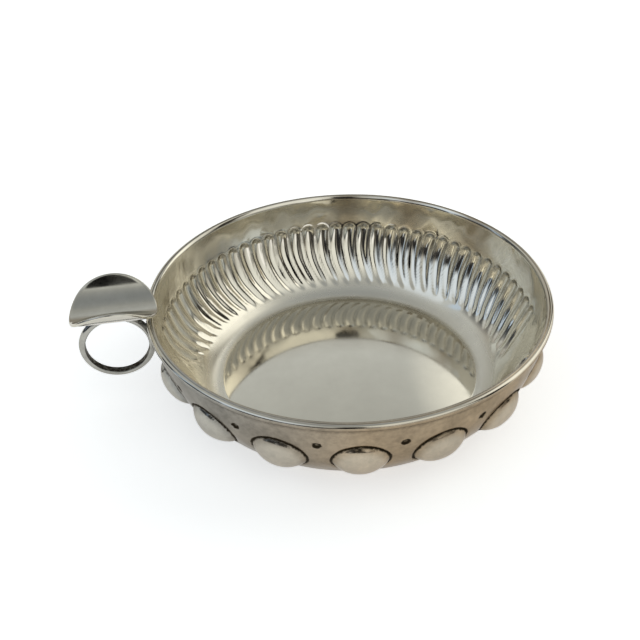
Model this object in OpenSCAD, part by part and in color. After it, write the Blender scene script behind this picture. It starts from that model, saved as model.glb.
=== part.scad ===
// Tastevin: a shallow raised silver wine-tasting bowl with a finger ring and a thumb plate.
// The origin is on the bowl's axis, in the plane it stands on. +Z is up and the handle points to -X.
// Flutes cover the +Y half of the wall, and round bosses stand out of the -Y half.

/* [Bowl] */
// Diameter over the rim wire
rim_d = 108; // [96:0.5:120]
// Height from the table to the top edge of the sheet
bowl_h = 28.5; // [26:0.5:32]
// Thickness of the silver sheet
sheet = 0.8; // [0.6:0.05:1.0]
// Outside radius of the wall's outward bow, seen in section
wall_bow_r = 36; // [33:0.5:42]
// Outside radius of the flat ring that the bowl stands on
foot_r = 38.4; // [36:0.1:40]
// Width of that flat ring
foot_w = 2.9; // [2.2:0.1:3.6]
// Rise of the domed centre above the table, underneath
dome_rise = 3.9; // [2.5:0.1:5]

/* [Rim wire] */
// Height of the half-round wire round the edge
wire_h = 1.9; // [1.4:0.1:2.4]

/* [Bosses] */
// Number of round bosses
boss_count = 7; // [3:1:7]
// Angle from one boss to the next, in degrees
boss_pitch = 22.9; // [21:0.1:23.2]
// Direction of the middle of the row, in degrees
boss_mid = -97.1; // [-100:0.1:-90]
// Height of the boss centres on the wall
boss_z = 13.7; // [12.7:0.1:14.3]
// How far a boss stands out from the wall
boss_proud = 2.7; // [2:0.1:3]
// Radius of the round face of a boss
boss_r = 8.8; // [8:0.1:9.5]

/* [Punched dots] */
// Height of the dots on the wall
dot_z = 20.5; // [20:0.1:22]
// Diameter of the pit that the punch leaves outside
dot_d = 2.2; // [1.6:0.1:2.6]
// Depth of that pit
dot_depth = 0.45; // [0.3:0.05:0.55]

/* [Flutes] */
// Number of flutes
flute_count = 37; // [12:1:37]
// Angle from one flute to the next, in degrees
flute_pitch = 4.97; // [4.9:0.01:5.1]
// Direction of the middle flute's top, in degrees
flute_mid = 84.28; // [82:0.02:88]
// Height of the tops
flute_top_z = 19.4; // [17:0.1:20]
// Height at which the flutes run out on the curve
flute_end_z = 3.6; // [3:0.1:6]
// Radius of the round hollow of a flute
flute_r = 1.7; // [1.4:0.05:1.75]
// Depth of a flute at its top
flute_depth = 0.5; // [0.3:0.05:0.6]
// Slant of the flutes from upright, in degrees
flute_slant = 9; // [0:0.5:12]

/* [Finger ring] */
// Inside radius of the ring
ring_r = 8.35; // [7.5:0.05:10]
// Thickness of the half-round ring wire, outwards
ring_t = 1.7; // [1.4:0.05:2.2]
// Width of the flat inside of the ring
ring_w = 2.25; // [1.8:0.05:3]
// Gap between the ring and the wall, filled with solder
ring_gap = 0.6; // [0.4:0.05:0.8]
// How far the ring is filed down where the plate sits on it
ring_filed = 0.5; // [0.3:0.05:0.7]

/* [Thumb plate] */
// Length of the plate along the handle
plate_l = 22.9; // [20:0.1:25]
// Width of the disc before it is bent, along its curve
plate_w = 23.4; // [21:0.1:25]
// Radius of the hollow that the disc is bent to
plate_bend_r = 9.95; // [9:0.05:12]
// Thickness of the plate
plate_t = 0.9; // [0.7:0.05:1.2]
// How far the plate reaches inwards past the outside of the rim
plate_reach = 3.4; // [2.6:0.1:4]
// Height of solder between the rim and the plate
plate_lift = 0.65; // [0.4:0.05:0.9]

/* [Solder] */
// Width of the solder fillets beside the parts they join
fillet = 0.6; // [0.4:0.05:0.8]
// Distance of the solder from the finger's hole
solder_clear = 0.45; // [0.3:0.05:0.6]

/* [Hidden] */
$fn = 96;
fine = 720;
silver = "#C9C3B5";
solder_grey = "#B4AFA3";
past = 1;

// Wall: one arc, seen in section, from the foot up through the middle of the rim wire
wire_r = wire_h / 2;
wire_seat = [rim_d / 2 - wire_r, bowl_h - wire_r];
foot = [foot_r, 0];
wall_chord = norm(wire_seat - foot);
wall_chord_dir = (wire_seat - foot) / wall_chord;
wall_c = (wire_seat + foot) / 2
    + [-wall_chord_dir.y, wall_chord_dir.x] * sqrt(pow(wall_bow_r, 2) - pow(wall_chord / 2, 2));
inner_bow_r = wall_bow_r - sheet;
function wall_x(z, r = wall_bow_r) = wall_c.x + sqrt(r * r - pow(wall_c.y - z, 2));
function wall_dir(z) = ([wall_x(z), z] - wall_c) / wall_bow_r;

// Domed centre: a sphere through the inner edge of the flat ring
dome_edge = foot_r - foot_w;
dome_r = (pow(dome_edge, 2) + pow(dome_rise, 2)) / (2 * dome_rise);
dome_c = [0, dome_rise - dome_r];

// A boss is the cap of a ball behind the wall that stands out from it by boss_proud
boss_back = 3;
boss_c = [wall_x(boss_z), boss_z] - wall_dir(boss_z) * (boss_r - boss_proud);
boss_a = atan2(wall_dir(boss_z).y, wall_dir(boss_z).x);
boss_first = boss_mid - boss_pitch * (boss_count - 1) / 2;

// A dot is a ball outside the wall that sinks into it by dot_depth
dot_r = (pow(dot_d / 2, 2) + pow(dot_depth, 2)) / (2 * dot_depth);
dot_c = [wall_x(dot_z), dot_z] + wall_dir(dot_z) * (dot_r - dot_depth);

// A flute is a round bar bent to the arc of the wall
flute_clear = 0.15;
flute_top_a = -asin((wall_c.y - flute_top_z) / inner_bow_r);
flute_end_a = -asin((wall_c.y - flute_end_z) / inner_bow_r);
flute_arc_a = flute_top_a - flute_end_a;
flute_first = flute_mid + flute_pitch * (flute_count - 1) / 2;

// Handle: the ring stands on edge in a plane through the bowl's axis, and the plate lies on it
ring_out_r = ring_r + ring_t;
ring_bow_r = (pow(ring_t, 2) + pow(ring_w / 2, 2)) / (2 * ring_t);
plate_under_z = bowl_h + plate_lift;
plate_out_r = plate_bend_r + plate_t;
plate_axis_z = plate_under_z + plate_out_r;
plate_x = plate_reach - rim_d / 2 - plate_l / 2;
ring_z = plate_under_z + ring_filed - ring_out_r;
ring_x = -(wall_x(ring_z) + ring_gap + ring_out_r);
ring_seat_l = 2 * sqrt(pow(ring_out_r, 2) - pow(ring_out_r - ring_filed, 2));

// Outline of the bent disc from the side: a circle through its ends and its lips
lip_a = plate_w / 2 / plate_bend_r * 180 / PI;
lip_rise = plate_bend_r * (1 - cos(lip_a));
trim_r = (pow(plate_l / 2, 2) + pow(lip_rise, 2)) / (2 * lip_rise);
trim_z = plate_under_z + plate_t + lip_rise - trim_r;

// Half section of all that lies inside a face in_by behind the outer face of the sheet
module body_section(in_by, top) {
    difference() {
        intersection() {
            union() {
                translate(wall_c) circle(wall_bow_r - in_by, $fn = fine);
                square([wall_c.x, top]);
            }
            translate([0, in_by]) square([rim_d, top - in_by]);
        }
        translate(dome_c) circle(dome_r + in_by);
    }
}

module rim_section() {
    difference() {
        translate(wire_seat) circle(wire_r);
        body_section(0, bowl_h + past);
    }
}

module outer_body() {
    rotate_extrude() body_section(0, bowl_h);
}

module inner_hollow() {
    rotate_extrude() body_section(sheet, bowl_h + past);
}

// Caps of balls, cut off square behind the wall
module bosses(in_by) {
    for (i = [0 : boss_count - 1])
        rotate(boss_first + i * boss_pitch) translate([boss_c.x, 0, boss_c.y])
            rotate([0, -boss_a, 0]) intersection() {
                rotate(180) sphere(boss_r - in_by);
                translate([boss_r - boss_proud - boss_back, -boss_r, -boss_r]) cube(2 * boss_r);
            }
}

// One dot half way between each two bosses
module dots(out_by) {
    for (i = [0 : boss_count - 2])
        rotate(boss_first + (i + 0.5) * boss_pitch) translate([dot_c.x, 0, dot_c.y])
            sphere(dot_r + out_by);
}

// Bar that is sunk flute_depth through a face of the sheet at its top.
// It is turned about its top, so that it leaves that face before its lower end.
module flute(face_r) {
    arc_r = face_r + flute_depth - flute_r;
    turn = asin((flute_depth + flute_clear) / (arc_r * sin(flute_arc_a)));
    top = wall_c + arc_r * [cos(flute_top_a), sin(flute_top_a)];
    translate([top.x, 0, top.y]) rotate([-flute_slant, 0, 0])
        rotate([0, -turn - flute_top_a, 0]) rotate([90, 0, 0]) translate([-arc_r, 0, 0])
            rotate(-flute_arc_a) rotate_extrude(angle = flute_arc_a)
                translate([arc_r, 0]) rotate(180) circle(flute_r);
}

module flutes(face_r) {
    for (i = [0 : flute_count - 1])
        rotate(flute_first - i * flute_pitch) flute(face_r);
}

// The sheet follows its ornament on both faces: out at the bosses and flutes, and in at the dots
module bowl() {
    color(silver) difference() {
        union() {
            outer_body();
            bosses(0);
            flutes(wall_bow_r);
        }
        difference() {
            inner_hollow();
            dots(sheet);
        }
        bosses(sheet);
        flutes(inner_bow_r);
        dots(0);
    }
}

module rim_wire() {
    color(silver) rotate_extrude() rim_section();
}

// Half-round ring with a flat inside
module ring_blank() {
    translate([ring_x, 0, ring_z]) rotate([90, 0, 0]) rotate_extrude() intersection() {
        translate([ring_r, -ring_w]) square([ring_t, 2 * ring_w]);
        translate([ring_out_r - ring_bow_r, 0]) circle(ring_bow_r);
    }
}

// Round bar along the handle, centred on x
module bar(x, z, r, len) {
    translate([x - len / 2, 0, z]) rotate([0, 90, 0]) cylinder(h = len, r = r);
}

module plate_body() {
    bar(plate_x, plate_axis_z, plate_out_r, 2 * plate_l);
}

module finger_ring() {
    color(silver) difference() {
        ring_blank();
        plate_body();
    }
}

module thumb_plate() {
    color(silver) intersection() {
        difference() {
            plate_body();
            bar(plate_x, plate_axis_z, plate_bend_r, 3 * plate_l);
        }
        translate([plate_x, plate_out_r, trim_z]) rotate([90, 0, 0])
            cylinder(h = 2 * plate_out_r, r = trim_r);
    }
}

// Cone of solder from the side of the ring to the wall
module ring_to_bowl_solder() {
    $fn = fine;
    color(solder_grey) difference() {
        translate([ring_x + ring_r + ring_t / 2, 0, ring_z]) rotate([0, 90, 0])
            cylinder(h = ring_t + 2 * ring_gap, r1 = ring_w / 2, r2 = ring_w / 2 + fillet);
        ring_blank();
        outer_body();
    }
}

// Round pad of solder on the rim, as wide as the wire and sheet under it
module plate_to_rim_solder() {
    $fn = fine;
    color(solder_grey) difference() {
        translate([-wire_seat.x, 0, bowl_h - wire_r])
            cylinder(h = wire_r + plate_lift + plate_t, r = wire_h);
        plate_body();
        rotate_extrude() {
            body_section(0, bowl_h);
            rim_section();
        }
        cylinder(h = bowl_h + plate_out_r, r = wall_x(bowl_h, inner_bow_r));
    }
}

// Fillet of solder round the ring's filed top, clear of the finger's hole
module plate_to_ring_solder() {
    $fn = fine;
    color(solder_grey) difference() {
        bar(ring_x, plate_under_z, ring_bow_r + fillet, ring_seat_l + 2 * fillet);
        plate_body();
        ring_blank();
        translate([ring_x, plate_w / 2, ring_z]) rotate([90, 0, 0])
            cylinder(h = plate_w, r = ring_r + solder_clear);
    }
}

bowl();
rim_wire();
finger_ring();
thumb_plate();
ring_to_bowl_solder();
plate_to_rim_solder();
plate_to_ring_solder();
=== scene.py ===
"""Tastevin: a silver wine-tasting bowl with flutes, bosses, a finger ring and a thumb plate.

Metres, Z up. The origin is on the bowl's axis, in the plane that it stands on, and the handle
points to -X. Azimuths are measured from +X towards +Y.
"""

import math

import bpy
import numpy as np
from bpy.props import FloatProperty, FloatVectorProperty, IntProperty, PointerProperty
from mathutils import Matrix, Vector


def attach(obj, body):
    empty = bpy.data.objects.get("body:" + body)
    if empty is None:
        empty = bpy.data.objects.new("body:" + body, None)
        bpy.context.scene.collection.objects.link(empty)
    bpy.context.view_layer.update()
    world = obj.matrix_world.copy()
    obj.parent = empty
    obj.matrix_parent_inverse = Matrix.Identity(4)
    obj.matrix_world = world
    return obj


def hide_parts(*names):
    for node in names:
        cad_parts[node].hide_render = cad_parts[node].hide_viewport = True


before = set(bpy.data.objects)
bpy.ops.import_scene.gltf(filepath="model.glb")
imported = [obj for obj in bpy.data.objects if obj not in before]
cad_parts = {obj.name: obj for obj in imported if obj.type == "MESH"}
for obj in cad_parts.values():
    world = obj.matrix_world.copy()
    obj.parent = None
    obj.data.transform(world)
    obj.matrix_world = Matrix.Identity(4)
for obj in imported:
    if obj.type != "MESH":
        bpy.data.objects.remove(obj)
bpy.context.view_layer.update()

bl_info = {
    "name": "Tastevin",
    "version": (1, 0, 0),
    "blender": (4, 5, 0),
    "location": "View3D > Sidebar > Tastevin",
    "description": "Builds a silver tastevin and its photo stage",
    "category": "Object",
}

MM = 0.001
BODY = "root"


def linear(hex_colour):
    """Linear RGB of an sRGB colour that is written as #RRGGBB."""
    srgb = np.array([int(hex_colour[i : i + 2], 16) for i in (1, 3, 5)]) / 255
    return tuple(np.where(srgb <= 0.04045, srgb / 12.92, ((srgb + 0.055) / 1.055) ** 2.4).tolist())


def length(name, description, millimetres):
    """Property for a size, given in millimetres and kept in metres."""
    return FloatProperty(
        name=name, description=description, default=millimetres * MM, precision=5, unit="LENGTH"
    )


def angle(name, description, degrees):
    """Property for an angle, given in degrees and kept in radians."""
    return FloatProperty(
        name=name, description=description, default=math.radians(degrees), unit="ROTATION"
    )


def colour(name, description, hex_colour):
    """Property for a colour, given as sRGB and kept linear."""
    return FloatVectorProperty(
        name=name, description=description, default=linear(hex_colour), size=3, subtype="COLOR"
    )


def ratio(name, description, value):
    """Property for a plain number."""
    return FloatProperty(name=name, description=description, default=value)


class BowlSizes(bpy.types.PropertyGroup):
    """Sizes of the raised sheet and its rim wire"""

    rim_radius: length("Rim radius", "Radius over the rim wire", 54)
    height: length("Height", "Height of the sheet's top edge", 28.5)
    sheet: length("Sheet", "Thickness of the silver", 0.8)
    bow_radius: length("Bow", "Outside radius of the wall, seen in section", 36)
    foot_radius: length("Foot radius", "Outside radius of the flat ring it stands on", 38.4)
    foot_width: length("Foot width", "Width of the flat ring it stands on", 2.9)
    dome_rise: length("Dome rise", "Rise of the centre, underneath", 3.9)
    fillet: length("Fillet", "Height to which the bend above the foot reaches", 2.2)
    floor_bend: length("Floor bend", "Height that the bend inside, above the flat ring, reaches", 4.4)
    wire_height: length("Wire height", "Height of the half-round rim wire", 1.9)
    waviness: length("Waviness", "Height of the soft waves that the hammer leaves", 0.045)


class FluteSizes(bpy.types.PropertyGroup):
    """Sizes of the row of flutes"""

    count: IntProperty(name="Count", description="Number of flutes", default=37)
    pitch: angle("Pitch", "Angle from one flute to the next", 4.97)
    middle: angle("Middle", "Direction of the middle flute's arched top", 84.28)
    arch_height: length("Arch height", "Height of the centre of the arched tops", 17.8)
    end_height: length("End height", "Height that END_RISES is added to for a flute's pointed end", 2.0)
    end_point: ratio("End point", "Length of a flute's pointed lower end by its half width", 2.4)
    share: ratio("Share", "Width of an arch, as a share of the pitch", 0.74)
    depth: length("Depth", "Depth of a flute under its arch", 0.43)
    shallowing: ratio("Shallowing", "Share of the depth that is lost at the lower end", 0.4)
    fullness: ratio("Fullness", "Power of the section under the arch, lower is fuller", 0.95)
    end_fullness: ratio("End fullness", "Power of the section at the lower end", 1.5)
    slant: angle("Slant", "Turn of a flute's lower end about the bowl's axis", 4.5)
    slant_power: ratio("Slant power", "Power of the run that the slant follows, higher turns later", 2.4)
    swing: angle("Swing", "Turn of a flute's middle to the other side", 0.8)
    lip: length("Lip", "Height of the fine edge round an arch", 0.07)


class BossSizes(bpy.types.PropertyGroup):
    """Sizes of the round bosses and the punched dots between them"""

    count: IntProperty(name="Count", description="Number of bosses", default=7)
    pitch: angle("Pitch", "Angle from one boss to the next", 22.9)
    middle: angle("Middle", "Direction of the middle of the row", -97.1)
    height: length("Height", "Height of the boss centres on the wall", 13.7)
    radius: length("Radius", "Radius of a boss, along the wall", 6.85)
    ball: length("Ball", "Radius of a boss's round face", 8.8)
    proud: length("Proud", "How far a boss stands out", 2.7)
    line_width: length("Line width", "Width of the chased line round a boss", 0.6)
    line_depth: length("Line depth", "Depth of the chased line round a boss", 0.3)
    dot_height: length("Dot height", "Height of the dots on the wall", 20.5)
    dot_radius: length("Dot radius", "Radius of a punched dot", 1.1)
    dot_depth: length("Dot depth", "Depth of a punched dot", 0.5)


class HandleSizes(bpy.types.PropertyGroup):
    """Sizes of the finger ring, the thumb plate and the solder"""

    ring_radius: length("Ring radius", "Inside radius of the finger ring", 8.35)
    ring_thickness: length("Ring thickness", "Thickness of the ring wire, outwards", 1.7)
    ring_width: length("Ring width", "Width of the ring's flat inside", 2.25)
    ring_gap: length("Ring gap", "Gap between the ring and the wall", 0.6)
    ring_filed: length("Ring filed", "How far the ring is filed under the plate", 0.5)
    plate_length: length("Plate length", "Length along the handle", 22.9)
    plate_width: length("Plate width", "Width along the curve", 23.4)
    plate_bend: length("Plate bend", "Radius of the plate's hollow", 9.95)
    plate_thickness: length("Plate thickness", "Thickness of the plate", 0.9)
    plate_reach: length("Plate reach", "How far the plate reaches over the rim", 3.4)
    plate_lift: length("Plate lift", "Height of solder under the plate", 0.65)
    fillet: length("Fillet", "Width of the solder beside the parts", 0.6)


class Finishes(bpy.types.PropertyGroup):
    """Colours of the silver, its patina and its tarnish, which also paint shade"""

    silver: colour("Silver", "Polished silver", "#EBE5D6")
    # Brown patina outside; its darkness is partly painted shade, for a darker, shaded floor in the
    # outside's reflection.
    patina_and_shade: colour("Patina", "Worn silver on the outside", "#9B8A73")
    # Grey patina by the handle; its grey is partly painted reflection of the dark room that the ring and
    # the wall there mirror.
    handle_grey_and_shade: colour("Handled patina", "Worn silver by the handle, where fingers rub it", "#8D8D89")
    # The tarnish colour also paints shade: under the arches, along the flutes, low outside, under the rim
    # wire and inside the ring.
    tarnish_and_shade: colour("Tarnish", "Dark sulphide in lines and pits", "#221C12")
    solder: colour("Solder", "Hard silver solder", "#8A8478")


class StageSettings(bpy.types.PropertyGroup):
    """Camera, floor and light"""

    camera_distance: length("Camera distance", "From the middle of the rim", 260)
    camera_azimuth: angle("Camera azimuth", "Direction of the camera", -100)
    camera_elevation: angle("Camera elevation", "Height of the camera, as an angle", 34.382)
    camera_yaw: angle("Camera yaw", "Turn to the left of the rim's middle", 1.6894)
    camera_pitch: angle("Camera pitch", "Turn below the rim's middle", -1.7126)
    camera_roll: angle("Camera roll", "Turn about the line of sight", -0.79425)
    focal_length: FloatProperty(
        name="Focal length", description="Lens on a 36 mm sensor", default=54.54, unit="CAMERA"
    )
    floor: colour("Floor", "Matt white paper", "#F4F4F2")
    floor_glow: ratio("Floor glow", "White that the camera and the metal see on top of the light", 0.56)
    floor_radius: length("Floor radius", "Radius of the floor", 3000)


class TastevinSettings(bpy.types.PropertyGroup):
    """All settings of the tastevin"""

    bowl: PointerProperty(type=BowlSizes)
    flutes: PointerProperty(type=FluteSizes)
    bosses: PointerProperty(type=BossSizes)
    handle: PointerProperty(type=HandleSizes)
    finishes: PointerProperty(type=Finishes)
    stage: PointerProperty(type=StageSettings)


def closed_mesh(name, grid, ring=False, attributes=None):
    """Mesh through a grid of points, rows x columns x 3, whose columns join up round the piece.

    On a ring the rows join up too. Otherwise a pole in the middle of the first row and of the last
    row closes the ends. Faces are turned outwards by the sign of the volume they enclose, a sixth
    of the sum of their triangles' triple products. Each attribute is an array of rows x columns, or
    of rows x 1 where the columns are alike.
    """
    rows, columns = grid.shape[:2]
    index = np.arange(rows * columns).reshape(rows, columns)
    points = grid.reshape(-1, 3)
    upper, lower = index[:-1], index[1:]
    if ring:
        upper, lower = index, np.roll(index, -1, 0)
    quads = np.stack([upper, np.roll(upper, -1, 1), np.roll(lower, -1, 1), lower], -1).reshape(-1, 4)
    fans = np.zeros((0, 3), int)
    if not ring:
        points = np.vstack([points, grid[0].mean(0), grid[-1].mean(0)])
        first, last = index[0], index[-1]
        start = np.full_like(first, rows * columns)
        end = start + 1
        first_fan = np.stack([start, np.roll(first, -1), first], -1)
        last_fan = np.stack([end, last, np.roll(last, -1)], -1)
        fans = np.vstack([first_fan, last_fan])
    triangles = np.vstack([quads[:, [0, 1, 2]], quads[:, [0, 2, 3]], fans])
    a, b, c = points[triangles.T]
    if (a * np.cross(b, c)).sum() < 0:
        quads, fans = quads[:, ::-1], fans[:, ::-1]
    mesh = bpy.data.meshes.new(name)
    mesh.vertices.add(len(points))
    mesh.vertices.foreach_set("co", points.ravel().astype(np.float32))
    corners = np.concatenate([quads.ravel(), fans.ravel()]).astype(np.int32)
    sizes = np.concatenate([np.full(len(quads), 4), np.full(len(fans), 3)])
    mesh.loops.add(len(corners))
    mesh.loops.foreach_set("vertex_index", corners)
    mesh.polygons.add(len(sizes))
    mesh.polygons.foreach_set("loop_start", (np.cumsum(sizes) - sizes).astype(np.int32))
    mesh.polygons.foreach_set("use_smooth", np.ones(len(sizes), bool))
    mesh.update(calc_edges=True)
    for key, values in (attributes or {}).items():
        values = np.broadcast_to(values, (rows, columns))
        flat = values.ravel()
        if not ring:
            flat = np.append(flat, [values[0].mean(), values[-1].mean()])
        layer = mesh.attributes.new(key, "FLOAT", "POINT")
        layer.data.foreach_set("value", flat.astype(np.float32))
    return mesh


def place(name, mesh, material, node):
    """Puts a finished mesh into the scene in place of a CAD node."""
    piece = bpy.data.objects.new(name, mesh)
    bpy.context.scene.collection.objects.link(piece)
    mesh.materials.append(material)
    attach(piece, BODY)
    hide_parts(node)


def stretches(stops, counts):
    """Rows from stop to stop, with a count for each stretch and no stop twice."""
    parts = [np.linspace(a, b, n, endpoint=False) for a, b, n in zip(stops, stops[1:], counts)]
    return np.append(np.concatenate(parts), stops[-1])


def turned(radius, height, azimuth):
    """Points at a radius and height (rows x columns) carried round the bowl's axis."""
    radius, height = np.broadcast_arrays(radius, height)
    return np.stack([radius * np.cos(azimuth), radius * np.sin(azimuth), height + 0 * azimuth], -1)


def circle(count):
    """Angles all the way round, as one row."""
    return np.linspace(0, 2 * math.pi, count, endpoint=False)[None, :]


def wall_centre(b):
    """Centre of the wall's arc, as (radius, height).

    The arc goes through the foot's edge and the middle of the rim wire: the centre lies on the
    middle line of that chord, on the bowl's inner side.
    """
    wire = b.wire_height / 2
    seat = np.array([b.rim_radius - wire, b.height - wire])
    foot = np.array([b.foot_radius, 0])
    chord = np.linalg.norm(seat - foot)
    along = (seat - foot) / chord
    inward = np.array([-along[1], along[0]])
    return (seat + foot) / 2 + inward * math.sqrt(b.bow_radius**2 - (chord / 2) ** 2)


def wall_radius(b, z, bow):
    """Radius of the wall at height z, on the arc with radius bow."""
    centre = wall_centre(b)
    return centre[0] + np.sqrt(bow**2 - (centre[1] - z) ** 2)


def dome_height(b, r, offset):
    """Height of the domed centre at radius r: a ball through the foot's inner edge, grown by offset."""
    edge = b.foot_radius - b.foot_width
    ball = (edge**2 + b.dome_rise**2) / (2 * b.dome_rise)
    return b.dome_rise - ball + np.sqrt((ball + offset) ** 2 - r**2)


def down_the_wall(b, z, start):
    """Length along the wall's arc from height start down to height z."""
    centre_z = wall_centre(b)[1]
    start_turn = np.arcsin((start - centre_z) / b.bow_radius)
    return b.bow_radius * (start_turn - np.arcsin((z - centre_z) / b.bow_radius))


def rise(x, start, end):
    """Smooth step from 0 at start to 1 at end, which may be the lower one."""
    x = np.clip((x - start) / (end - start), 0, 1)
    return x * x * (3 - 2 * x)


# Keeps a division safe.
TINY = 1e-6
# How far the flutes' ends lie above end_height, in mm by azimuth: hand work isn't level.
END_RISES = ((-5, 2.2), (30, 2.0), (80, 0.8), (130, 0.6), (155, 1.1), (175, 2.4))


def flute_depth(b, f, azimuth, z):
    """Depth of the flutes, a point's distance from its flute's middle (1 at the edge), its run and up.

    The run is 0 at the centre of the arch and 1 at the lower end. A flute's section is a parabola,
    raised to a power that grows down the flute, so that the groove narrows and the ridge gets round.
    The top is half a circle, and the lower end is half a long ellipse, so that it looks pointed.
    Up is the cosine of the angle from the arch's top, and 0 below the arch.
    """
    run = down_the_wall(b, z, f.arch_height)
    first = f.middle + f.pitch * (f.count - 1) / 2
    end_height = f.end_height + np.interp(np.degrees(azimuth), *zip(*END_RISES)) * MM
    run_end = down_the_wall(b, end_height, f.arch_height)
    tail = np.clip(run / run_end, 0, 1)
    turn = azimuth + f.slant * tail**f.slant_power - f.swing * np.sin(math.pi * tail)
    number = np.clip(np.round((first - turn) / f.pitch), 0, f.count - 1)
    radius = wall_radius(b, z, b.bow_radius - b.sheet)
    side = (turn - first + number * f.pitch) * radius
    half = f.share * f.pitch / 2 * radius
    end_half = f.share * f.pitch / 2 * wall_radius(b, end_height, b.bow_radius)
    point = f.end_point * end_half
    beyond = np.minimum(run, 0) + np.maximum(run - run_end + point, 0) / f.end_point
    out = np.hypot(side, beyond) / half
    fullness = f.fullness + (f.end_fullness - f.fullness) * tail
    depth = f.depth * (1 - f.shallowing * tail**2) * np.clip(1 - out**2, 0, None) ** fullness
    up = np.clip(-run, 0, None) / (out * half + TINY)
    return depth, out, run / run_end, up


def boss_distance(b, s, azimuth, z):
    """Distance along the wall from the nearest boss centre, and from the nearest punched dot."""
    first = s.middle - s.pitch * (s.count - 1) / 2
    round_wall = (azimuth - first + math.pi) % (2 * math.pi) - math.pi
    radius = wall_radius(b, s.height, b.bow_radius)
    number = np.clip(np.round(round_wall / s.pitch), 0, s.count - 1)
    boss = np.hypot((round_wall - number * s.pitch) * radius, down_the_wall(b, z, s.height))
    radius = wall_radius(b, s.dot_height, b.bow_radius)
    number = np.clip(np.round(round_wall / s.pitch - 0.5), 0, s.count - 2) + 0.5
    dot = np.hypot((round_wall - number * s.pitch) * radius, down_the_wall(b, z, s.dot_height))
    return boss, dot


def hammer_waves(b, azimuth, run):
    """Soft waves of the hammered sheet: sines and products of sines, 5 to 40 mm long."""
    run = run / MM
    wave = np.sin(9 * azimuth + 0.11 * run) * np.sin(0.31 * run + 0.7)
    wave = wave + 0.8 * np.sin(17 * azimuth - 0.19 * run + 1.3) * np.sin(0.17 * run + 2.1)
    wave = wave + 0.5 * np.sin(29 * azimuth + 0.37 * run)
    wave = wave + 0.25 * np.sin(61 * azimuth - 0.6 * run)
    return b.waviness * wave


def bump(distance, middle, width):
    """Smooth hump of height 1 and the given width at a distance."""
    return np.exp(-(((distance - middle) / (width / 2)) ** 2))


def boss_height(s, distance):
    """How far a boss stands out at a distance from its centre: a ball that comes out of a curved wall."""
    wall_curve = 2 * (math.sqrt(s.ball**2 - s.radius**2) - s.ball + s.proud) / s.radius**2
    cap = np.sqrt(np.clip(s.ball**2 - distance**2, 0, None)) - s.ball + s.proud
    return np.where(distance < s.radius, cap - wall_curve / 2 * distance**2, 0)


def bend(start, corner, end, shares):
    """Points of a parabola from start to end that touches both sides of the corner between them."""
    t = shares[:, None]
    points = (1 - t) ** 2 * np.array(start) + 2 * t * (1 - t) * np.array(corner) + t**2 * np.array(end)
    return points[:, 0], points[:, 1]


# How far the sheet's edge is rounded, and the radius of the first row round a pole.
EDGE = 0.12 * MM
POLE = 3 * MM
# Columns from azimuth to azimuth, in degrees, closer over the flutes than over the bosses.
COLUMN_STOPS = (-12, 178, 348)
COLUMN_COUNTS = (444, 262)
# Heights in mm where rows change their distance: at the arches inside, at the dots and bosses outside.
INSIDE_STOPS = (14.5, 20.5)
OUTSIDE_STOPS = (22, 19, 7)


def bowl_section(b):
    """Section of the plain bowl: radii and heights of the floor, inside, outside and underside.

    The inside and the outside are arcs that parabolas join to the flat ring. Both come with their
    outward normals.
    """
    centre = wall_centre(b)
    inner_bow = b.bow_radius - b.sheet
    dome_edge = b.foot_radius - b.foot_width
    top = b.height - EDGE

    dome_r = np.linspace(POLE, dome_edge - 1.5 * MM, 7)
    dome_r = np.append(dome_r, [dome_edge - 0.3 * MM, dome_edge])
    floor_r = np.append(dome_r, dome_edge + 0.2 * MM)
    floor_z = np.append(dome_height(b, dome_r, b.sheet), b.sheet)

    bend_start = (dome_edge + 0.6 * MM, b.sheet)
    bend_top = wall_radius(b, b.floor_bend, inner_bow)
    slope = (centre[1] - b.floor_bend) / (bend_top - centre[0])
    corner = (bend_top - (b.floor_bend - b.sheet) * slope, b.sheet)
    shares = stretches([0, 0.45, 1], [4, 12])
    bend_r, bend_z = bend(bend_start, corner, (bend_top, b.floor_bend), shares)
    along_r, along_z = np.gradient(bend_r), np.gradient(bend_z)
    step = np.hypot(along_r, along_z)
    above_z = stretches([b.floor_bend + 0.3 * MM, *np.multiply(INSIDE_STOPS, MM), top], [15, 24, 6])
    above_r = wall_radius(b, above_z, inner_bow)
    inside_out = (
        np.append(along_z / step, (above_r - centre[0]) / inner_bow),
        np.append(-along_r / step, (above_z - centre[1]) / inner_bow),
    )
    inside = np.append(bend_r, above_r), np.append(bend_z, above_z), inside_out

    outside_z = stretches([top, *np.multiply(OUTSIDE_STOPS, MM), b.fillet], [4, 10, 32, 5])
    outside_r = wall_radius(b, outside_z, b.bow_radius)
    outside_out = (outside_r - centre[0]) / b.bow_radius, (outside_z - centre[1]) / b.bow_radius

    foot_top = 0.8 * b.fillet
    foot_start = (wall_radius(b, foot_top, b.bow_radius), foot_top)
    foot_end = (b.foot_radius - 1.2 * MM, 0)
    foot_r, foot_z = bend(foot_start, (b.foot_radius, 0), foot_end, np.linspace(0, 1, 5))
    hollow_r = np.append(dome_edge, np.linspace(33 * MM, POLE, 5))
    under = np.append(foot_r, hollow_r), np.append(foot_z, dome_height(b, hollow_r, 0))
    return (floor_r, floor_z), inside, (outside_r, outside_z, outside_out), under


# Shares of painted shade under an arch, of tarnish between the arches, of painted shade beside a flute
# and above the foot, and of a painted shadow under the wire.
CRESCENT_PAINTED_SHADE = 0.7
GROUND_TARNISH = 0.35
FLANK_PAINTED_SHADE = 0.5
FOOT_PAINTED_SHADE = 0.5
RIM_PAINTED_SHADOW = 0.95


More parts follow.
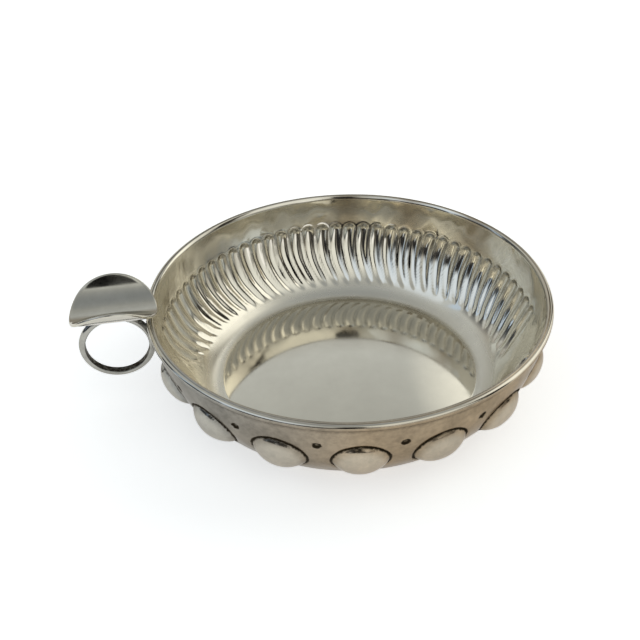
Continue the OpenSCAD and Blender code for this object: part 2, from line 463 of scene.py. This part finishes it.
def flute_tarnish_and_painted_shade(flute, run, up):
    """Share of dark colour inside, from flute_depth's distance, run and up.

    The crescent under each arch is painted shade, for its shaded top. Tarnish lies on the ground between
    the arches. A line of painted shade runs along the flanks.
    """
    # Painted shade: the shaded top inside each arch.
    crescent = CRESCENT_PAINTED_SHADE * rise(flute, 0.3, 0.6) * rise(up, 0, 0.625) * rise(flute, 1.06, 1)
    ground = GROUND_TARNISH * rise(flute, 1.05, 1.15) * rise(flute, 1.35, 1.3) * rise(run, 0.4, 0.2)
    # Painted shade: a dark line along each flute's flanks.
    flank = FLANK_PAINTED_SHADE * bump(flute, 1.02, 0.22) * rise(run, 0.95, 0.55)
    below_the_top = up < 0.5
    return np.maximum(crescent, np.maximum(flank, ground) * below_the_top)


def outside_painted_shade(b, s, boss, z):
    """Painted shade outside: low on the wall between the bosses, for the shaded floor it reflects, and a
    painted shadow line under the rim wire.
    """
    # Painted shade: the low wall between the bosses.
    low = FOOT_PAINTED_SHADE * rise(z, 9 * MM, 2 * MM) * rise(boss, s.radius, s.radius + MM)
    # Painted shadow: a dark line under the rim wire.
    return np.maximum(low, RIM_PAINTED_SHADOW * bump(z, b.height - b.wire_height, 0.7 * MM))


# The hammer waves are stronger inside, and fade out over this height at the bend and at the edge.
INSIDE_WAVES = 1.6
WAVE_FADE = 3 * MM
# Distance in mm that stands for far from any boss or dot.
FAR = 99


def worked_wall(b, f, s, azimuth, section, outside):
    """One face of the wall: radius, height, distances in mm from boss and dot, and the share of tarnish
    and painted shade.

    Each point moves along the arc's outward normal: out by the flutes and bosses, in by the dots,
    by the chased lines outside and by the arches' lips inside, and both ways by the hammer waves.
    """
    radius, z = section[0][:, None], section[1][:, None]
    normal_r, normal_z = section[2][0][:, None], section[2][1][:, None]
    depth, flute, run, up = flute_depth(b, f, azimuth, z)
    boss, dot = boss_distance(b, s, azimuth, z)
    out = depth + boss_height(s, boss) - s.dot_depth * np.clip(1 - (dot / s.dot_radius) ** 2, 0, None)
    fade = np.clip((z - b.floor_bend) / WAVE_FADE, 0, 1) * np.clip((b.height - z) / WAVE_FADE, 0, 1)
    waves = fade * hammer_waves(b, azimuth, down_the_wall(b, z, b.height))
    if outside:
        out = out + waves - s.line_depth * bump(boss, s.radius + s.line_width / 3, s.line_width)
        marks = boss / MM, dot / MM, outside_painted_shade(b, s, boss, z)
    else:
        out = out + INSIDE_WAVES * waves - f.lip * bump(flute, 1.17, 0.2) * rise(run, 0.4, 1 / 15)
        far = np.full_like(boss, FAR)
        marks = far, far, flute_tarnish_and_painted_shade(flute, run, up)
    return radius + out * normal_r, z + out * normal_z, *marks


# Painted reflections in the plain band inside, brown patches that stand in for the wall that it mirrors:
# azimuth and width in degrees.
BAND_PAINTED_REFLECTIONS = ((33, 14), (58, 12), (80, 11), (132, 18))
BAND_PAINTED_REFLECTION_SHARE = 0.65
# Height from which the band is plain, height up to which the bend is satin, and how far both fade.
BAND_HEIGHT = 18.3 * MM
SATIN_HEIGHT = 3.8 * MM
MARK_FADE = 1.5 * MM
# Share of the patina that is rubbed off the top of a boss, and the width in mm of the fade at its edge.
BOSS_SHINE = 0.28
BOSS_FADE = 2


def bowl_mesh(b, f, s):
    """Raised sheet: the bowl's section with its worked wall, carried round the axis.

    The section runs from the middle of the floor up the inside, over the edge, down the outside
    and under to the middle. The mesh carries what its material needs: the distances from bosses
    and dots, and the shares of tarnish with painted shade, of patina with painted shade and painted
    reflections, and of satin.
    """
    azimuth = np.radians(stretches(COLUMN_STOPS, COLUMN_COUNTS)[:-1])[None, :]
    sections = bowl_section(b)
    floor, plain_inside, plain_outside, under = sections
    inside = worked_wall(b, f, s, azimuth, plain_inside, False)
    outside = worked_wall(b, f, s, azimuth, plain_outside, True)

    def whole(on_floor, k, below):
        """Value k of both worked faces, between the floor's values and the underside's."""
        on_floor, below = (values[:, None] + 0 * azimuth for values in (on_floor, below))
        return np.vstack([on_floor, inside[k], outside[k], below])

    def by_section(*shares):
        """Column of shares for the floor, inside, outside and underside: one each, or one a row."""
        return np.concatenate([share + 0 * part[0] for part, share in zip(sections, shares)])[:, None]

    radius = whole(floor[0], 0, under[0])
    height = whole(floor[1], 1, under[1])
    edge_row = len(floor[0]) + len(plain_inside[0])
    height[edge_row - 1 : edge_row + 1] += EDGE
    marks = {
        name: whole(rest + 0 * floor[0], k, rest + 0 * under[0])
        for name, k, rest in (("boss", 2, FAR), ("dot", 3, FAR), ("tarnish_and_painted_shade", 4, 0))
    }
    boss_edge = s.radius / MM
    worn_bright = BOSS_SHINE * rise(marks["boss"], boss_edge, boss_edge - BOSS_FADE)
    inside_z = plain_inside[1]
    band = by_section(0, rise(inside_z, BAND_HEIGHT, BAND_HEIGHT + MARK_FADE), 0, 0)
    # Painted reflections: brown patches in the plain band.
    painted_reflections = sum(bump(azimuth, math.radians(at), math.radians(wide)) for at, wide in BAND_PAINTED_REFLECTIONS)
    # Patina outside, partly painted shade, less on the worn tops of the bosses; and painted reflections
    # in the plain band inside.
    marks["patina_and_shade"] = by_section(0, 0, 1, 1) * (1 - worn_bright) + BAND_PAINTED_REFLECTION_SHARE * band * painted_reflections
    dome_edge = b.foot_radius - b.foot_width
    satin_ring = rise(floor[0], dome_edge, dome_edge + MM)
    satin_bend = rise(inside_z, SATIN_HEIGHT, SATIN_HEIGHT - MARK_FADE)
    marks["satin"] = by_section(satin_ring, satin_bend, 0, 0)
    return closed_mesh("bowl", turned(radius, height, azimuth), attributes=marks)


# Least share of patina on the rim wire, on top, where it is rubbed bright.
RIM_PATINA = 0.25


def rim_wire_mesh(b):
    """Half-round wire: a circle's outer half carried round the axis, closed along the wall's arc."""
    wire = b.wire_height / 2
    seat_r, seat_z = b.rim_radius - wire, b.height - wire
    lean = math.asin((seat_z - wall_centre(b)[1]) / b.bow_radius)
    turn = np.linspace(-math.pi / 2, math.pi / 2, 15) + lean
    back = np.linspace(1, -1, 6)[1:-1] * wire * 0.98
    radius = np.append(seat_r + wire * np.cos(turn), seat_r - 0.1 * MM - back * math.sin(lean))
    height = np.append(seat_z + wire * np.sin(turn), seat_z + back * math.cos(lean))
    azimuth = circle(480)
    wobble = 0.05 * MM * np.sin(5 * azimuth + 0.4) * np.sin(3 * azimuth)
    # Full patina on the wire's lower side, partly painted shade; less on top, where it is rubbed bright.
    patina_and_shade = np.append(RIM_PATINA + (1 - RIM_PATINA) * rise(turn, 0.75, 0.25), 1 + 0 * back)
    grid = turned(radius[:, None] + wobble, height[:, None], azimuth)
    return closed_mesh("rim_wire", grid, ring=True, attributes={"patina_and_shade": patina_and_shade[:, None]})


def handle_places(b, h):
    """Named places of the handle: the ring's centre, the plate's axis and its middle."""
    under = b.height + h.plate_lift
    outer = h.ring_radius + h.ring_thickness
    ring_z = under + h.ring_filed - outer
    ring_x = -(wall_radius(b, ring_z, b.bow_radius) + h.ring_gap + outer)
    return {
        "ring": (ring_x, ring_z),
        "under": under,
        "plate_x": h.plate_reach - b.rim_radius - h.plate_length / 2,
        "plate_axis": under + h.plate_bend + h.plate_thickness,
    }


def plate_underside(h, places, y):
    """Height of the plate's underside at y."""
    outer = h.plate_bend + h.plate_thickness
    return places["plate_axis"] - np.sqrt(outer**2 - y**2)


def finger_ring_mesh(b, h):
    """Ring on edge: a bowed section with a flat inside, carried round the Y direction.

    The bow is half an ellipse. The top is filed to the plate's underside. The inside is painted dark:
    painted shade.
    """
    places = handle_places(b, h)
    turn = np.linspace(-math.pi / 2, math.pi / 2, 19)
    flat = np.linspace(1, -1, 7)
    half = h.ring_width / 2
    corner = 0.2 * MM
    out = np.append(corner + (h.ring_thickness - corner) * np.cos(turn), 0 * flat)
    across = np.append(half * np.sin(turn), flat * (half - corner))
    around = circle(180)
    radius = h.ring_radius + out[:, None]
    x = places["ring"][0] + radius * np.cos(around)
    y = across[:, None] + 0 * around
    z = np.minimum(places["ring"][1] + radius * np.sin(around), plate_underside(h, places, y))
    # Painted shade: the ring's inside is painted dark.
    inside = np.append(0 * turn, 1 + 0 * flat)[:, None]
    return closed_mesh("finger_ring", np.stack([x, y, z], -1), ring=True, attributes={"tarnish_and_painted_shade": inside})


def thumb_plate_mesh(b, h):
    """Disc bent to a hollow, as polar rows from the middle of the top to the middle of the underside.

    Seen from the side its outline is a circle through its ends and its lips. The edge is rounded.
    """
    places = handle_places(b, h)
    lip = h.plate_width / 2 / h.plate_bend
    lip_rise = h.plate_bend * (1 - math.cos(lip))
    trim = ((h.plate_length / 2) ** 2 + lip_rise**2) / (2 * lip_rise)
    half = h.plate_thickness / 2
    round_edge = 2 * half / h.plate_length
    turn = np.linspace(0, math.pi, 9)[1:-1]
    top = np.append(np.linspace(0.05, 1 - 2 * round_edge, 22), 1 - round_edge)
    share = np.concatenate([top, 1 - round_edge + round_edge * np.sin(turn), top[::-1]])[:, None]
    level = np.concatenate([half + 0 * top, half * np.cos(turn), -half + 0 * top])[:, None]
    around = circle(192)
    across = share * np.sin(around)
    bent = lip * across
    lift = h.plate_bend * (1 - np.cos(bent))
    reach = np.sqrt(np.clip(trim**2 - (lift + trim - lip_rise) ** 2, 0, None))
    reach = reach / np.sqrt(np.clip(1 - across**2, TINY, None))
    radius = h.plate_bend + half - level
    x = places["plate_x"] + reach * share * np.cos(around)
    z = places["plate_axis"] - radius * np.cos(bent)
    return closed_mesh("thumb_plate", np.stack([x, radius * np.sin(bent), z], -1))


# Solder: the post's narrowest share, its thickness by its width, and half the bead's length and height.
POST_WAIST = 0.62
POST_SQUASH = 0.62
BEAD_LENGTH = 3.8 * MM
BEAD_HEIGHT = 1.15 * MM


def solder_meshes(b, h):
    """The three soldered joints.

    Ring to bowl: a tube that widens to the wall. Plate to rim: a waisted post under the plate.
    Plate to ring: an oval bead, flattened against the plate's underside.
    """
    places = handle_places(b, h)
    ring_x, ring_z = places["ring"]
    around = circle(40)
    along = np.linspace(0, 1, 12)[:, None]

    start = ring_x + h.ring_radius + 0.55 * h.ring_thickness
    end = -wall_radius(b, ring_z, b.bow_radius) + b.sheet / 2
    width = 0.9 * h.ring_width / 2 + (h.fillet + 0.1 * MM) * along**3
    tube_x = start + (end - start) * along + 0 * around
    tube = np.stack([tube_x, width * np.cos(around), ring_z + width * np.sin(around)], -1)

    rim_x = -(b.rim_radius - b.wire_height / 2)
    low = b.height - 0.3 * MM
    high = places["under"] + h.plate_thickness / 2
    width = b.wire_height * (POST_WAIST + (1 - POST_WAIST) * (2 * along - 1) ** 2)
    post_z = low + (high - low) * along + 0 * around
    post = np.stack([rim_x + POST_SQUASH * width * np.cos(around), width * np.sin(around), post_z], -1)

    turn = math.pi * np.linspace(0.04, 0.96, 24)[:, None]
    bead_x = ring_x + BEAD_LENGTH * np.cos(turn) + 0 * around
    bead_y = (h.ring_width / 2 + h.fillet) * np.sin(turn) * np.cos(around)
    bead_z = places["under"] + BEAD_HEIGHT * np.sin(turn) * np.sin(around)
    bead_z = np.minimum(bead_z, plate_underside(h, places, bead_y) + h.plate_thickness / 3)
    bead = np.stack([bead_x, bead_y, bead_z], -1)
    return {"ring_to_bowl_solder": tube, "plate_to_rim_solder": post, "plate_to_ring_solder": bead}


def add_node(tree, kind, inputs=None, **settings):
    """Adds a node with its settings. inputs maps a socket to a value or to the socket that feeds it."""
    node = tree.nodes.new(kind)
    for key, value in settings.items():
        setattr(node, key, value)
    for key, value in (inputs or {}).items():
        if isinstance(value, bpy.types.NodeSocket):
            tree.links.new(value, node.inputs[key])
        else:
            node.inputs[key].default_value = value
    return node


def maths(tree, operation, *values):
    """Math node's result for sockets or numbers."""
    return add_node(tree, "ShaderNodeMath", dict(enumerate(values)), operation=operation).outputs["Value"]


def span(tree, value, from_min, from_max, to_min, to_max):
    """Value carried from one span to another, held at its ends."""
    ends = {"From Min": from_min, "From Max": from_max, "To Min": to_min, "To Max": to_max}
    return add_node(tree, "ShaderNodeMapRange", {"Value": value, **ends}).outputs["Result"]


def noise(tree, place_in, size, detail, roughness=0.5):
    """Noise whose largest features have the given size in metres."""
    inputs = {"Vector": place_in, "Scale": 1 / size, "Detail": detail, "Roughness": roughness}
    return add_node(tree, "ShaderNodeTexNoise", inputs).outputs["Fac"]


def mixed(tree, share, first, second):
    """Mix of two colours, each a socket or linear RGB."""
    first, second = (c if isinstance(c, bpy.types.NodeSocket) else (*c, 1) for c in (first, second))
    return add_node(tree, "ShaderNodeMix", {0: share, 6: first, 7: second}, data_type="RGBA").outputs[2]


def attribute(tree, name):
    """Number that the mesh carries at each point."""
    return add_node(tree, "ShaderNodeAttribute", attribute_name=name).outputs["Fac"]


def empty_material(name):
    """Material with a metal shader wired to its output, and its node tree."""
    material = bpy.data.materials.new(name)
    material.use_nodes = True
    tree = material.node_tree
    tree.nodes.clear()
    shader = add_node(tree, "ShaderNodeBsdfPrincipled", {"Metallic": 1.0})
    add_node(tree, "ShaderNodeOutputMaterial", {"Surface": shader.outputs["BSDF"]})
    return material, tree, shader


# Sizes of the patterns in the silver and the solder.
CLOUDS = 9 * MM
MOTTLE = 1.6 * MM
GRAIN = 0.8 * MM
SOLDER_GRAIN = 0.5 * MM
# Scratches are about 0.35 mm wide and 4 mm long, coarser than real ones so that they show.
SCRATCH_WIDTH = 0.35 * MM
SCRATCH_SQUEEZE = 0.08
SCRATCH_TURNS = (0.4, 1.7)
SCRATCH_DEPTH = 0.05 * MM
SCRATCH_STRENGTH = 0.06
# Shade of the silver in its clouds and of the solder in its grain.
CLOUD_SHADE = 0.83
SOLDER_SHADE = 0.6
# Where along X the grey patina by the handle, partly painted reflection, gives way to the brown one.
HANDLE_GREY_SPAN = (-45 * MM, -5 * MM)
# Dull silver stays dull at a slant.
DULL_EDGE = (0.68, 0.65, 0.61)
# What patina, satin, and tarnish with painted shade add to the roughness.
PATINA_ROUGHNESS = 0.1
SATIN_ROUGHNESS = 0.2
TARNISH_AND_SHADE_ROUGHNESS = 0.3


def polished_silver(name, finishes, smooth, rough, patina_and_shade, tarnish_and_shade=None):
    """Hand-polished old silver: a warm mirror with fine wheel scratches and soft cloudy wear.

    smooth and rough are the roughness between the clouds and in them. patina is the share of dull,
    darker silver, or None where the piece carries it as an attribute; it is partly painted shade. It is
    greyer by the handle, partly as a painted reflection of a dark room.
    A piece may also carry a share of satin, where cups and cloths have rubbed it. tarnish gives
    the share of dark colour: sulphide, and painted shade where the piece carries it.
    """
    material, tree, shader = empty_material(name)
    place_in = add_node(tree, "ShaderNodeTexCoord").outputs["Object"]
    clouds = noise(tree, place_in, CLOUDS, 4.0, 0.6)
    mottle = noise(tree, place_in, MOTTLE, 5.0, 0.7)
    strokes = []
    for turn in SCRATCH_TURNS:
        squeezed = {"Vector": place_in, "Rotation": (0.3, 0.2, turn), "Scale": (1, SCRATCH_SQUEEZE, 1)}
        mapping = add_node(tree, "ShaderNodeMapping", squeezed)
        strokes.append(noise(tree, mapping.outputs["Vector"], SCRATCH_WIDTH, 2.0))
    scratch = maths(tree, "MULTIPLY", *strokes)
    bumps = {"Height": scratch, "Strength": SCRATCH_STRENGTH, "Distance": SCRATCH_DEPTH}
    relief = add_node(tree, "ShaderNodeBump", bumps).outputs["Normal"]

    share = attribute(tree, "patina_and_shade") if patina_and_shade is None else patina_and_shade
    bright = mixed(tree, clouds, finishes.silver, [CLOUD_SHADE * v for v in finishes.silver])
    along = add_node(tree, "ShaderNodeSeparateXYZ", {"Vector": place_in}).outputs["X"]
    hue = mixed(tree, span(tree, along, *HANDLE_GREY_SPAN, 0, 1), finishes.handle_grey_and_shade, finishes.patina_and_shade)
    depth = span(tree, maths(tree, "ADD", clouds, mottle), 0.75, 1.25, 1.15, 0.7)
    dull = add_node(tree, "ShaderNodeVectorMath", {0: hue, 1: depth}, operation="MULTIPLY")
    tint = mixed(tree, share, bright, dull.outputs["Vector"])
    edge = mixed(tree, share, (1, 1, 1), DULL_EDGE)
    roughness = span(tree, clouds, 0.35, 0.7, smooth, rough)
    roughness = maths(tree, "MULTIPLY_ADD", share, PATINA_ROUGHNESS, roughness)
    roughness = maths(tree, "MULTIPLY_ADD", attribute(tree, "satin"), SATIN_ROUGHNESS, roughness)
    if tarnish_and_shade:
        # Dark colour: sulphide, and painted shade where the piece carries it.
        dark = tarnish_and_shade(tree, noise(tree, place_in, GRAIN, 3.0))
        tint = mixed(tree, dark, tint, finishes.tarnish_and_shade)
        roughness = maths(tree, "MULTIPLY_ADD", dark, TARNISH_AND_SHADE_ROUGHNESS, roughness)
    tree.links.new(tint, shader.inputs["Base Color"])
    tree.links.new(edge, shader.inputs["Specular Tint"])
    tree.links.new(roughness, shader.inputs["Roughness"])
    tree.links.new(relief, shader.inputs["Normal"])
    return material


def recess_tarnish_and_painted_shade(tree, grain):
    """Share of dark colour that the piece carries: sulphide in its recesses and painted shade, uneven by
    the grain.
    """
    return maths(tree, "MULTIPLY", attribute(tree, "tarnish_and_painted_shade"), span(tree, grain, 0.3, 0.6, 0.65, 1))


# Middle of the dark line round a boss, in mm from the boss's centre.
LINE_MIDDLE = 7.08


def ornament_tarnish_and_painted_shade(tree, grain):
    """Share of dark colour: sulphide in the line round a boss and in the dots, and the piece's own share
    of tarnish and painted shade.

    The line is darkest just outside a boss's edge and uneven, as a hand-worked line is.
    """
    from_boss, from_dot = attribute(tree, "boss"), attribute(tree, "dot")
    from_line = maths(tree, "ABSOLUTE", maths(tree, "SUBTRACT", from_boss, LINE_MIDDLE))
    line = span(tree, maths(tree, "MULTIPLY_ADD", grain, 0.5, from_line), 0.5, 0.75, 1, 0)
    pit = span(tree, maths(tree, "ADD", grain, from_dot), 1.5, 1.8, 1, 0)
    pit = maths(tree, "MINIMUM", pit, span(tree, from_dot, 0.2, 0.6, 0.5, 1))
    return maths(tree, "MAXIMUM", maths(tree, "MAXIMUM", line, pit), recess_tarnish_and_painted_shade(tree, grain))


def hard_solder(finishes):
    """Hard silver solder: a greyer, grainy silver alloy that has flowed and been filed."""
    material, tree, shader = empty_material("hard_silver_solder")
    place_in = add_node(tree, "ShaderNodeTexCoord").outputs["Object"]
    grain = noise(tree, place_in, SOLDER_GRAIN, 3.0)
    tint = mixed(tree, grain, finishes.solder, [SOLDER_SHADE * v for v in finishes.solder])
    tree.links.new(tint, shader.inputs["Base Color"])
    tree.links.new(span(tree, grain, 0, 1, 0.2, 0.5), shader.inputs["Roughness"])
    return material


# The room from the horizon (0) to the zenith (1), by the sine of the elevation: pale walls and a ceiling.
ROOM_LEVELS = (
    (0.0, "#BDB9B2"),
    (0.13, "#A9A59D"),
    (0.3, "#B4B0A8"),
    (0.58, "#DADFE1"),
    (0.85, "#C6CACA"),
    (1.0, "#A6ACB1"),
)
# Patches in the room: azimuth, elevation, half width and half height in degrees, colour, level, softness.
ROOM_PATCHES = (
    (12, 30, 42, 28, "#FBFCF6", 1.6, 0.6),
    (178, 16, 40, 20, "#474D54", 1.0, 0.5),
    (164, 24, 4, 20, "#CFE4FF", 1.1, 0.4),
    (197, 20, 4, 16, "#CFE4FF", 1.2, 0.4),
    (-64, 35, 29, 25, "#F6F9F6", 1.2, 0.9),
    (-155, 37, 28, 15, "#E2EDFA", 1.0, 0.8),
    (-22, 22, 9, 30, "#2E2A25", 1.0, 0.6),
    (40, 22, 7, 26, "#4A463E", 1.0, 0.6),
    (-115, 1, 45, 11, "#1A1714", 1.0, 0.5),
    (-132, 15, 26, 9, "#303032", 1.0, 0.8),
    (-99, 30, 7, 20, "#040404", 1.0, 0.2),
    (-78, 11, 8, 7, "#F4F6F8", 1.5, 0.6),
    (-130, 6, 6, 5, "#EAF1FA", 1.0, 0.4),
)
ROOM_STRENGTH = 0.86


def direction(azimuth, elevation):
    """Unit vector towards an azimuth and elevation."""
    level = math.cos(elevation)
    return Vector((math.cos(azimuth) * level, math.sin(azimuth) * level, math.sin(elevation)))


def add_camera(g, target):
    """Camera on a sphere about the target, then turned about its own up, right and sight lines."""
    camera = bpy.data.objects.new("camera", bpy.data.cameras.new("camera"))
    bpy.context.scene.collection.objects.link(camera)
    outward = direction(g.camera_azimuth, g.camera_elevation)
    aim = outward.to_track_quat("Z", "Y").to_matrix()
    turn = (
        Matrix.Rotation(g.camera_yaw, 3, "Y")
        @ Matrix.Rotation(g.camera_pitch, 3, "X")
        @ Matrix.Rotation(g.camera_roll, 3, "Z")
    )
    camera.matrix_world = Matrix.Translation(target + outward * g.camera_distance) @ (aim @ turn).to_4x4()
    camera.data.sensor_width = 36
    camera.data.lens = g.focal_length
    camera.data.clip_start = 0.01
    bpy.context.scene.camera = camera


def add_softbox(name, azimuth, elevation, distance, size, power, tint):
    """Rectangular area lamp that faces the bowl, from a direction in degrees."""
    lamp = bpy.data.lights.new(name, "AREA")
    lamp.shape = "RECTANGLE"
    lamp.size, lamp.size_y = size
    lamp.energy = power
    lamp.color = linear(tint)
    light = bpy.data.objects.new(name, lamp)
    bpy.context.scene.collection.objects.link(light)
    outward = direction(math.radians(azimuth), math.radians(elevation))
    aim = outward.to_track_quat("Z", "Y").to_matrix().to_4x4()
    light.matrix_world = Matrix.Translation(outward * distance) @ aim


def dot_product(tree, vector, axis):
    """Dot product of a socket's vector with a fixed axis."""
    inputs = {0: vector, 1: tuple(axis)}
    return add_node(tree, "ShaderNodeVectorMath", inputs, operation="DOT_PRODUCT").outputs["Value"]


def room_light(levels, patches):
    """World: levels of light by height, with soft-edged patches on them.

    A patch is an ellipse in the picture plane of an eye that looks at its middle.
    """
    world = bpy.data.worlds.new("room")
    bpy.context.scene.world = world
    world.use_nodes = True
    tree = world.node_tree
    tree.nodes.clear()
    sight = add_node(tree, "ShaderNodeTexCoord").outputs["Generated"]
    height = add_node(tree, "ShaderNodeSeparateXYZ", {0: sight}).outputs["Z"]
    ramp = add_node(tree, "ShaderNodeValToRGB", {0: height})
    stops = ramp.color_ramp.elements
    while len(stops) < len(levels):
        stops.new(1.0)
    for stop, (position, level) in zip(stops, levels):
        stop.position = position
        stop.color = (*linear(level), 1)
    tint = ramp.outputs["Color"]
    for *angles, patch, level, softness in patches:
        azimuth, elevation, half_width, half_height = np.radians(angles).tolist()
        ahead = direction(azimuth, elevation)
        left = direction(azimuth + math.pi / 2, 0)
        forward = dot_product(tree, sight, ahead)
        across = dot_product(tree, sight, left / math.tan(half_width))
        along = dot_product(tree, sight, ahead.cross(left) / math.tan(half_height))
        squares = [maths(tree, "POWER", value, 2) for value in (across, along)]
        away = maths(tree, "SQRT", maths(tree, "ADD", *squares))
        away = maths(tree, "DIVIDE", away, maths(tree, "MAXIMUM", forward, 0.01))
        share = span(tree, away, 1 - softness / 2, 1 + softness / 2, 1, 0)
        tint = mixed(tree, share, tint, [level * v for v in linear(patch)])
    background = add_node(tree, "ShaderNodeBackground", {"Color": tint, "Strength": ROOM_STRENGTH})
    add_node(tree, "ShaderNodeOutputWorld", {"Surface": background.outputs["Background"]})


# How far the floor lies under the bowl.
FLOOR_GAP = 0.01 * MM


def add_floor(g):
    """Round floor just under the bowl, in matt white paper.

    The camera and the metal see it glow on top of its light, and the glow lights nothing.
    """
    around = circle(64)[0]
    points = np.stack([np.cos(around), np.sin(around), 0 * around], -1) * g.floor_radius
    points[:, 2] = -FLOOR_GAP
    mesh = bpy.data.meshes.new("floor")
    mesh.from_pydata(points.tolist(), [], [list(range(len(points)))])
    floor = bpy.data.objects.new("floor", mesh)
    bpy.context.scene.collection.objects.link(floor)
    material, tree, shader = empty_material("matt_white_paper")
    shader.inputs["Metallic"].default_value = 0.0
    shader.inputs["Base Color"].default_value = (*g.floor, 1)
    shader.inputs["Roughness"].default_value = 1.0
    shader.inputs["Specular IOR Level"].default_value = 0.0
    shader.inputs["Emission Color"].default_value = (1, 1, 1, 1)
    path = add_node(tree, "ShaderNodeLightPath").outputs
    seen = maths(tree, "MAXIMUM", path["Is Camera Ray"], path["Is Glossy Ray"])
    seen = maths(tree, "MAXIMUM", seen, path["Is Transmission Ray"])
    glow = maths(tree, "MULTIPLY", seen, g.floor_glow)
    tree.links.new(glow, shader.inputs["Emission Strength"])
    mesh.materials.append(material)


class TASTEVIN_OT_bowl(bpy.types.Operator):
    """Add the raised bowl with its flutes, bosses and dots"""

    bl_idname = "tastevin.bowl"
    bl_label = "Bowl"

    def execute(self, context):
        t = context.scene.tastevin
        material = polished_silver(
            "raised_silver", t.finishes, smooth=0.06, rough=0.13, patina_and_shade=None, tarnish_and_shade=ornament_tarnish_and_painted_shade
        )
        place("tastevin_bowl", bowl_mesh(t.bowl, t.flutes, t.bosses), material, "bowl")
        return {"FINISHED"}


class TASTEVIN_OT_handle(bpy.types.Operator):
    """Add the rim wire, the finger ring and the thumb plate"""

    bl_idname = "tastevin.handle"
    bl_label = "Rim, ring and plate"

    def execute(self, context):
        t = context.scene.tastevin
        shine = {"smooth": 0.05, "rough": 0.12}
        drawn = polished_silver("drawn_silver", t.finishes, patina_and_shade=None, **shine)
        rubbed = polished_silver("rubbed_silver", t.finishes, patina_and_shade=0.35, **shine)
        # The ring's heavy grey patina is partly painted reflection of a dark room.
        handle_grey_and_shade = polished_silver(
            "handle_grey_silver_and_shade", t.finishes, patina_and_shade=0.8, tarnish_and_shade=recess_tarnish_and_painted_shade, **shine
        )
        place("tastevin_rim_wire", rim_wire_mesh(t.bowl), drawn, "rim_wire")
        place("tastevin_finger_ring", finger_ring_mesh(t.bowl, t.handle), handle_grey_and_shade, "finger_ring")
        place("tastevin_thumb_plate", thumb_plate_mesh(t.bowl, t.handle), rubbed, "thumb_plate")
        return {"FINISHED"}


class TASTEVIN_OT_solder(bpy.types.Operator):
    """Add the solder of the three joints"""

    bl_idname = "tastevin.solder"
    bl_label = "Solder"

    def execute(self, context):
        t = context.scene.tastevin
        material = hard_solder(t.finishes)
        for node, grid in solder_meshes(t.bowl, t.handle).items():
            place("tastevin_" + node, closed_mesh(node, grid), material, node)
        return {"FINISHED"}


class TASTEVIN_OT_stage(bpy.types.Operator):
    """Add the camera, the floor and the light"""

    bl_idname = "tastevin.stage"
    bl_label = "Stage"

    def execute(self, context):
        t = context.scene.tastevin
        add_camera(t.stage, Vector((0, 0, t.bowl.height)))
        add_floor(t.stage)
        room_light(ROOM_LEVELS, ROOM_PATCHES)
        add_softbox(
            "window", azimuth=-155, elevation=42, distance=1.0, size=(0.9, 0.6), power=0.5, tint="#CFE2FC"
        )
        context.scene.view_settings.view_transform = "Standard"
        return {"FINISHED"}


class TASTEVIN_PT_panel(bpy.types.Panel):
    """Lists the operators in the sidebar"""

    bl_idname = "TASTEVIN_PT_panel"
    bl_label = "Tastevin"
    bl_space_type = "VIEW_3D"
    bl_region_type = "UI"
    bl_category = "Tastevin"

    def draw(self, context):
        for operator in OPERATORS:
            self.layout.operator(operator.bl_idname)


OPERATORS = (TASTEVIN_OT_stage, TASTEVIN_OT_bowl, TASTEVIN_OT_handle, TASTEVIN_OT_solder)
GROUPS = (BowlSizes, FluteSizes, BossSizes, HandleSizes, Finishes, StageSettings, TastevinSettings)
CLASSES = GROUPS + OPERATORS + (TASTEVIN_PT_panel,)


def register():
    for cls in CLASSES:
        bpy.utils.register_class(cls)
    bpy.types.Scene.tastevin = PointerProperty(type=TastevinSettings)


def unregister():
    del bpy.types.Scene.tastevin
    for cls in reversed(CLASSES):
        bpy.utils.unregister_class(cls)


def main():
    register()
    bpy.ops.tastevin.stage()
    bpy.ops.tastevin.bowl()
    bpy.ops.tastevin.handle()
    bpy.ops.tastevin.solder()


if __name__ == "__main__":
    main()
